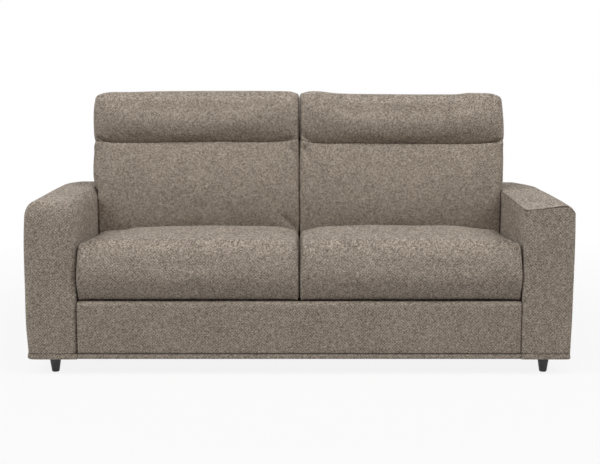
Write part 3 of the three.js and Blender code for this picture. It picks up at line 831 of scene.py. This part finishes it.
def squarer(points, axes, corner, sizes, strength):
    """Fills out a rounded edge where a cushion is pressed on its neighbours. sizes point inward from the
    corner."""
    shares = [np.clip(1 - (points[:, axis] - corner[axis]) / size, 0, 1) for axis, size in zip(axes, sizes)]
    edge = (shares[0] > 0) & (shares[1] > 0)
    power = 1 - 0.55 * np.broadcast_to(strength, len(points))[edge]
    for axis, size, share in zip(axes, sizes, shares):
        points[edge, axis] = corner[axis] + size * (1 - share[edge] ** power)


seat_frame_top = measured("seat_front_tube")[1][2]
seat_low = [0.0008, -0.4715, round(seat_frame_top + 0.0005, 4)]
seat_high = [round(arm_inner - 0.0007, 4), measured("right_seat_cushion")[1][1], 0.480]
seat_side_edge, seat_front_edge, seat_low_edge, seat_top_edge = 0.014, 0.066, 0.026, 0.072
seat_rear_edge = 0.03
cushion_step = 0.0110

# The height of the top across a seat, from 0 at the middle of the sofa to 1 at the arm.
seat_ridge = {
    -1: ([0, 0.03, 0.12, 0.3, 0.55, 0.8, 1], [0.471, 0.4785, 0.4850, 0.4870, 0.4868, 0.4790, 0.4650]),
    1: ([0, 0.03, 0.12, 0.3, 0.68, 0.84, 1], [0.471, 0.4785, 0.4850, 0.4878, 0.4880, 0.4825, 0.4650]),
}
seat_front_line = ([0, 0.1, 0.5, 0.85, 1], [0.478, 0.4835, 0.4860, 0.4850, 0.4810])
seat_crown_inner = 0.0012
seat_ridge_y = 0.008
seat_tuck_y = 0.044
seat_under_back = 0.4485
seat_under_fall = 0.012
seat_unevenness = 0.0022
seat_nose_bulge = 0.006
seat_nose_tuck = 0.024
seat_side_pull = 0.0010
seat_corner_pull = {"inner": 0.0015, "outer": 0.004}


def seat_shape(side, seed, low, high):
    """Gives the box its crown, its rolled front and the corners that are pulled in where it is sewn down."""
    def shape(points, shares):
        across, deep, tall = shares.T
        y = points[:, 1]
        span = seat_high[0] - seat_crown_inner
        outward = np.clip((side * points[:, 0] - seat_crown_inner) / span, 0, 1)
        below_roll = 1 - 0.6 * smooth((points[:, 2] - high[2] + 0.12) / 0.06)
        for corner, size in ((low, seat_side_edge), (high, -seat_side_edge)):
            squarer(points, (0, 1), (corner[0], low[1]), (size, seat_front_edge), below_roll)
            squarer(points, (0, 2), {0: corner[0], 2: high[2]}, (size, -seat_top_edge), 0.8)
        squarer(points, (2, 1), {2: low[2], 1: low[1]}, (seat_low_edge, seat_front_edge), 0.7)
        up = (points[:, 2] - low[2]) / (high[2] - low[2])
        ridge = flowing(*seat_ridge[side], outward)
        front = flowing(*seat_front_line, outward)
        level = front + (ridge - front) * smooth((y + 0.40) / 0.40)
        level += ripple(points, 0.23, seat_unevenness, seed)
        under = seat_under_back - seat_under_fall * (1 - dome(2 * outward - 1))
        level += (under - level) * smooth((y - seat_ridge_y) / (seat_tuck_y - seat_ridge_y))
        points[:, 2] += np.clip(up, 0, 1) ** 1.5 * (level - high[2])
        nose = np.maximum(-deep, 0) ** 6
        bulge = seat_nose_bulge * dome(tall - 0.15) * (0.7 + 0.3 * dome(across))
        points[:, 1] -= nose * (bulge + ripple(points, 0.19, 0.0016, seed + 2))
        low_edge = np.maximum(-tall, 0) ** 6
        points[:, 2] += nose * low_edge * (0.0004 + ripple(points, 0.16, 0.0012, seed + 5))
        points[:, 1] += seat_nose_tuck * nose * smooth((0.50 - up) / 0.5) ** 1.5
        corner_pull = np.where(outward > 0.5, seat_corner_pull["outer"], seat_corner_pull["inner"])
        pull = seat_side_pull * dome(deep) + corner_pull * smooth((0.30 - up) / 0.30) * smooth(-deep)
        points[:, 0] -= np.sign(across) * pull * np.abs(across) ** 4
        return points
    return shape


def seat_sewn(points):
    """The underside is sewn to the bed frame's cloth, and the rear end lies under the back cushion."""
    return (points[:, 2] < seat_frame_top + 0.0040) | (points[:, 1] > seat_tuck_y + 0.006)


cloth_gap = 0.0002
cushion_reach = round(arm_inner - 0.0006, 4)
seat_front_limit = -0.4834


def seat_pressed(side):
    """Keeps a filled seat clear of the arm, the other seat and the front tube that the bed unfolds past."""
    def pressed(points):
        points[:, 0] = side * np.clip(side * points[:, 0], cloth_gap, cushion_reach)
        points[:, 1] = np.maximum(points[:, 1], seat_front_limit)
        points[:, 2] = np.maximum(points[:, 2], seat_frame_top + 0.0004)
        return points
    return pressed


def on_side(side, low, high):
    """A right cushion's corners as they are, or mirrored for the left one."""
    if side > 0:
        return low, high
    return [-high[0], *low[1:]], [-low[0], *high[1:]]


for seed, (side_name, side) in enumerate(both_sides):
    low, high = on_side(side, seat_low, seat_high)
    edges = [(seat_side_edge, seat_side_edge), (seat_front_edge, seat_rear_edge),
             (seat_low_edge, seat_top_edge)]
    cushion = soft_box(side_name + "_seat_cover", low, high, edges, cushion_step, sofa_fabric,
                       seat_shape(side, 1.0 + 2.3 * seed, low, high))
    filled_out(cushion, seat_sewn, seat_pressed(side))
    add_piece(cushion, "seat_section", [side_name + "_seat_cushion"])


# Back cushions. Fibre-filled covers sewn to the frame behind them, each with a seam across it that sets
# off the headrest. The headrest rolls forward over the seam, and the cloth puckers at the seam's ends.

seam_height = 0.823
seam_depth = 0.088
seam_groove = 0.0055
arm_clear_level = 0.625
back_low = [0.0010, 0.040, 0.4530]
back_high = [round(arm_inner - 0.0030, 4), measured("right_back_cushion")[1][1], 1.010]
back_side_edge, back_front_edge, back_top_edge = 0.018, 0.044, 0.024
back_rear_edge, back_low_edge = 0.03, 0.020
back_plain = 0.062
back_unevenness = 0.0022
seam_pinch = 0.0025
top_spread = 0.006
low_corner_drop = 0.0096

# How far the seam's line lies above or below its middle height, at these places across the sofa.
headrest_lines = {
    -1: ([-0.83, -0.78, -0.69, -0.57, -0.345, -0.06, -0.03, 0],
         [0.0040, 0.0000, -0.0036, -0.0024, 0.0015, 0.0030, 0.0080, 0.0120]),
    1: ([0, 0.03, 0.05, 0.25, 0.57, 0.75, 0.80, 0.83],
        [0.0090, 0.0010, -0.0028, -0.0056, -0.0072, -0.0050, 0.0010, 0.0035]),
}
# The height of the top edge, at these places across the sofa.
back_top_lines = {
    -1: ([-0.835, -0.80, -0.70, -0.57, -0.35, -0.06, -0.01],
         [1.0110, 1.0125, 1.0135, 1.0165, 1.0178, 1.0170, 1.0150]),
    1: ([0.01, 0.07, 0.15, 0.30, 0.60, 0.66, 0.70, 0.77, 0.83],
        [1.0170, 1.0180, 1.0085, 1.0050, 1.0035, 1.0045, 1.0105, 1.0090, 1.0085]),
}
# How far the outer side reaches from the middle of the sofa, at these heights.
back_side_lines = {
    -1: ([0.44, 0.61, 0.632, 0.655, 0.69, 0.80, 0.823, 0.85, 0.96, 1.02],
         [0.8166, 0.8166, 0.8185, 0.8265, 0.8345, 0.8360, 0.8330, 0.8345, 0.8325, 0.8260]),
    1: ([0.44, 0.61, 0.632, 0.655, 0.69, 0.80, 0.823, 0.85, 0.94, 1.02],
        [0.8166, 0.8166, 0.8185, 0.8220, 0.8240, 0.8300, 0.8315, 0.8310, 0.8255, 0.8190]),
}
# Where the front of the cloth lies, below the seam and above it, at these heights.
body_profile = ([0.44, 0.47, 0.52, 0.57, 0.62, 0.66, 0.70, 0.74, 0.78, 0.8225],
                [0.052, 0.046, 0.040, 0.0375, 0.0415, 0.0505, 0.0610, 0.0715, 0.0815, 0.0900])
head_profile = ([0.8230, 0.832, 0.845, 0.862, 0.885, 0.91, 0.95, 0.98, 1.00, 1.03],
                [0.0940, 0.0880, 0.0820, 0.0755, 0.0690, 0.0655, 0.0665, 0.0710, 0.0765, 0.0900])


def back_shape(side, seed, low, high):
    """Gives the box its leaning front, its headrest, its wavy top and sides that widen above the arms."""
    def shape(points, shares):
        across, deep, tall = shares.T
        below_arm = 1 - smooth((points[:, 2] - 0.60) / 0.03)
        sides = ((low, back_side_edge), (high, -back_side_edge))
        for corner, size in sides:
            squarer(points, (0, 1), (corner[0], low[1]), (size, back_front_edge), below_arm)
        for corner, size in sides:
            squarer(points, (0, 2), {0: corner[0], 2: high[2]}, (size, -back_top_edge), 0.7)
        outward, inward = np.clip(side * across, 0, 1), np.clip(-side * across, 0, 1)
        edge = np.abs(across)
        front = smooth((0.3 - deep) / 1.15)
        z = points[:, 2].copy()
        off_seam = z - seam_height
        profile = np.where(off_seam < 0, flowing(*body_profile, z), flowing(*head_profile, z))
        points[:, 2] += flowing(*headrest_lines[side], points[:, 0]) * np.exp(-(off_seam / 0.09) ** 2)
        fade = 1 - 0.55 * smooth((edge - 0.86) / 0.14) * np.exp(-(off_seam / 0.035) ** 2)
        flat = 1 - 0.25 * edge ** 4
        points[:, 1] += front * (back_plain + (profile - back_plain) * fade * flat - low[1])
        points[:, 0] += side * (flowing(*back_side_lines[side], points[:, 2]) - back_high[0]) * outward
        pinch = seam_pinch * np.exp(-(off_seam / 0.011) ** 2) * front
        points[:, 0] -= np.sign(across) * pinch * edge ** 6
        points[:, 0] -= side * 0.0008 * inward ** 8 * dome(deep ** 4) * dome(tall ** 8)
        points[:, 0] += side * top_spread * inward ** 6 * smooth((z - 0.950) / 0.055) ** 2 * front
        puff = ripple(points, 0.20, back_unevenness, seed)
        top = flowing(*back_top_lines[side], points[:, 0]) - high[2] + 0.4 * puff
        points[:, 2] += np.maximum(tall, 0) ** 8 * top
        points[:, 2] += np.maximum(-tall, 0) ** 8 * low_corner_drop * (dome(across) - 1)
        points[:, 1] -= front * puff
        return points
    return shape


def back_sewn(points):
    """The seam under the headrest is drawn in by its thread, and the rear and the underside are sewn down."""
    seam = (np.abs(points[:, 2] - seam_height) < 0.014) & (points[:, 1] > seam_depth)
    return seam & (points[:, 1] < 0.14) | (points[:, 1] > 0.29) | (points[:, 2] < 0.466)


def back_pressed(side):
    """Keeps a filled back cushion clear of the arm, the other cushion, the seat and the frame behind it."""
    def pressed(points):
        above_arm = smooth((points[:, 2] - arm_clear_level) / 0.03) * 0.03
        points[:, 0] = side * np.clip(side * points[:, 0], cloth_gap, cushion_reach + above_arm)
        points[:, 2] = np.maximum(points[:, 2], back_low[2] - 0.0005)
        points[:, 1] = np.minimum(points[:, 1], back_high[1])
        return points
    return pressed


# Each fold runs from one place to another, across and up, with its width and its depth.
creases = {
    -1: [
        ((-0.062, 0.8280), (-0.012, 0.8470), 0.0065, 0.0100),
        ((-0.762, 0.8215), (-0.830, 0.8440), 0.0065, 0.0120),
        ((-0.800, 0.8290), (-0.838, 0.8230), 0.0060, 0.0070),
        ((-0.074, 0.5300), (-0.004, 0.4600), 0.0150, 0.0070),
        ((-0.066, 0.8120), (-0.014, 0.7800), 0.0110, 0.0045),
    ],
    1: [
        ((0.004, 0.8540), (0.052, 0.8225), 0.0065, 0.0110),
        ((0.004, 0.8750), (0.036, 0.8400), 0.0080, 0.0080),
        ((0.008, 0.8180), (0.050, 0.7400), 0.0120, 0.0090),
        ((0.770, 0.8205), (0.830, 0.8350), 0.0065, 0.0085),
    ],
}


def crease(points, start, end, width, depth):
    """How deep a short fold is at each point, seen from the front."""
    places = points[:, (0, 2)]
    start, end = np.array(start), np.array(end)
    run = end - start
    share = np.clip(((places - start) @ run) / (run @ run), 0, 1)
    gap = np.linalg.norm(places - start - share[:, None] * run, axis=1)
    return depth * np.exp(-(gap / width) ** 2) * np.sin(math.pi * np.clip(share, 0.08, 0.92)) ** 0.7


def stitched(cover, side):
    """Draws the cloth in along the headrest seam and in the folds at its ends and at the lower corner."""
    mesh = cover.data
    places = np.empty(len(mesh.vertices) * 3)
    mesh.vertices.foreach_get("co", places)
    points = places.reshape(-1, 3)
    front = smooth((0.17 - points[:, 1]) / 0.05)
    seam = seam_height + flowing(*headrest_lines[side], points[:, 0])
    points[:, 1] += front * seam_groove * np.exp(-np.abs(points[:, 2] - seam) / 0.0040)
    for start, end, width, depth in creases[side]:
        points[:, 1] += front * crease(points, start, end, width, depth)
    mesh.vertices.foreach_set("co", points.ravel())
    mesh.update()


beside_seam = np.array([0.0012, 0.0035, 0.0070, 0.012])
seam_rows = seam_height + np.concatenate([-beside_seam[::-1], [0], beside_seam])

for seed, (side_name, side) in enumerate(both_sides):
    low, high = on_side(side, back_low, back_high)
    edges = [(back_side_edge, back_side_edge), (back_front_edge, back_rear_edge),
             (back_low_edge, back_top_edge)]
    cushion = soft_box(side_name + "_back_cover", low, high, edges, cushion_step, sofa_fabric,
                       back_shape(side, 2.0 + 1.9 * seed, low, high), fine=((), (), seam_rows))
    filled_out(cushion, back_sewn, back_pressed(side))
    stitched(cushion, side)
    add_piece(cushion, "back_section", [side_name + "_back_cushion"])


# Setting. A plain pale floor under soft studio light from above and in front, seen from eye height.

def seen_rays(tree):
    """1 for the rays that show the ground, straight on or in metal and glass, and 0 for those that light
    the sofa."""
    rays = tree.nodes.new("ShaderNodeLightPath").outputs
    kinds = ("Camera", "Glossy", "Transmission")
    straight, glossy, clear = [Socket(tree, rays[f"Is {kind} Ray"]) for kind in kinds]
    return straight.maths("MAXIMUM", glossy).maths("MAXIMUM", clear)


def plain_floor():
    material = bpy.data.materials.new("floor_paper")
    material.use_nodes = True
    nodes = material.node_tree.nodes
    shader = nodes["Principled BSDF"]
    shader.inputs["Base Color"].default_value = (0.74, 0.74, 0.74, 1)
    shader.inputs["Roughness"].default_value = 0.9
    seen = seen_rays(material.node_tree)
    where = Socket(material.node_tree, nodes.new("ShaderNodeTexCoord").outputs["Object"])
    away = where.make("VectorMath", {"operation": "LENGTH"}, {0: where}, 1)
    bare = ((away - 1.3) * 0.45).clamped()
    glow = seen.make("Emission", (), {"Color": (1, 1, 1, 1), "Strength": 1.0})
    lit = Socket(material.node_tree, shader.outputs[0])
    mixed = seen.make("MixShader", (), {0: seen * (0.88 + bare * 0.12), 1: lit, 2: glow})
    material.node_tree.links.new(mixed.socket, nodes["Material Output"].inputs[0])
    return material


floor_level = -0.0005
floor_corners = [(-14, -9, floor_level), (14, -9, floor_level), (14, 19, floor_level), (-14, 19, floor_level)]
link_mesh("floor", floor_corners, [[0, 1, 2, 3]], plain_floor())

world = bpy.data.worlds.new("studio")
bpy.context.scene.world = world
world.use_nodes = True
background = world.node_tree.nodes["Background"]
background.inputs["Color"].default_value = (1, 1, 1, 1)
background.inputs["Strength"].default_value = 0.11
seen = seen_rays(world.node_tree)
clear = seen.make("Background", (), {"Color": (1, 1, 1, 1), "Strength": 1.0})
ambient = Socket(world.node_tree, background.outputs[0])
sky = seen.make("MixShader", (), {0: seen, 1: ambient, 2: clear})
world.node_tree.links.new(sky.socket, world.node_tree.nodes["World Output"].inputs[0])


def soft_lamp(name, place, size, power, target=(0, 0, 0.5)):
    """A soft box of the given width and depth in metres, aimed at the target."""
    lamp = bpy.data.lights.new(name, "AREA")
    lamp.shape = "RECTANGLE"
    lamp.size, lamp.size_y = size
    lamp.energy = power
    holder = linked(name, lamp)
    holder.location = place
    aim = np.array(target) - np.array(place)
    flat = math.hypot(aim[0], aim[1])
    holder.rotation_euler = (math.atan2(flat, -aim[2]), 0, math.atan2(-aim[0], aim[1]))


soft_lamp("overhead", (0.1, -1.5, 3.15), (3.0, 1.8), 38)
soft_lamp("high_right", (3.0, -1.5, 3.2), (1.4, 1.4), 60)
soft_lamp("high_left", (-3.0, -1.5, 3.2), (1.4, 1.4), 63)
soft_lamp("behind", (0.0, 5.0, 2.8), (3.0, 2.0), 50, target=(0, 0, 0.6))

camera_height = 1.117
camera_distance = 4.787
camera_aside = 0.0026
camera_tilt = math.radians(7.735)
focal_pixels = 1202
image_width = 600
camera_data = bpy.data.cameras.new("camera")
camera_data.sensor_width = 36
camera_data.lens = camera_data.sensor_width * focal_pixels / image_width
camera = linked("camera", camera_data)
camera.location = (camera_aside, -camera_distance, camera_height)
camera.rotation_euler = (math.pi / 2 - camera_tilt, 0, 0)
bpy.context.scene.camera = camera
bpy.context.scene.view_settings.view_transform = "Standard"
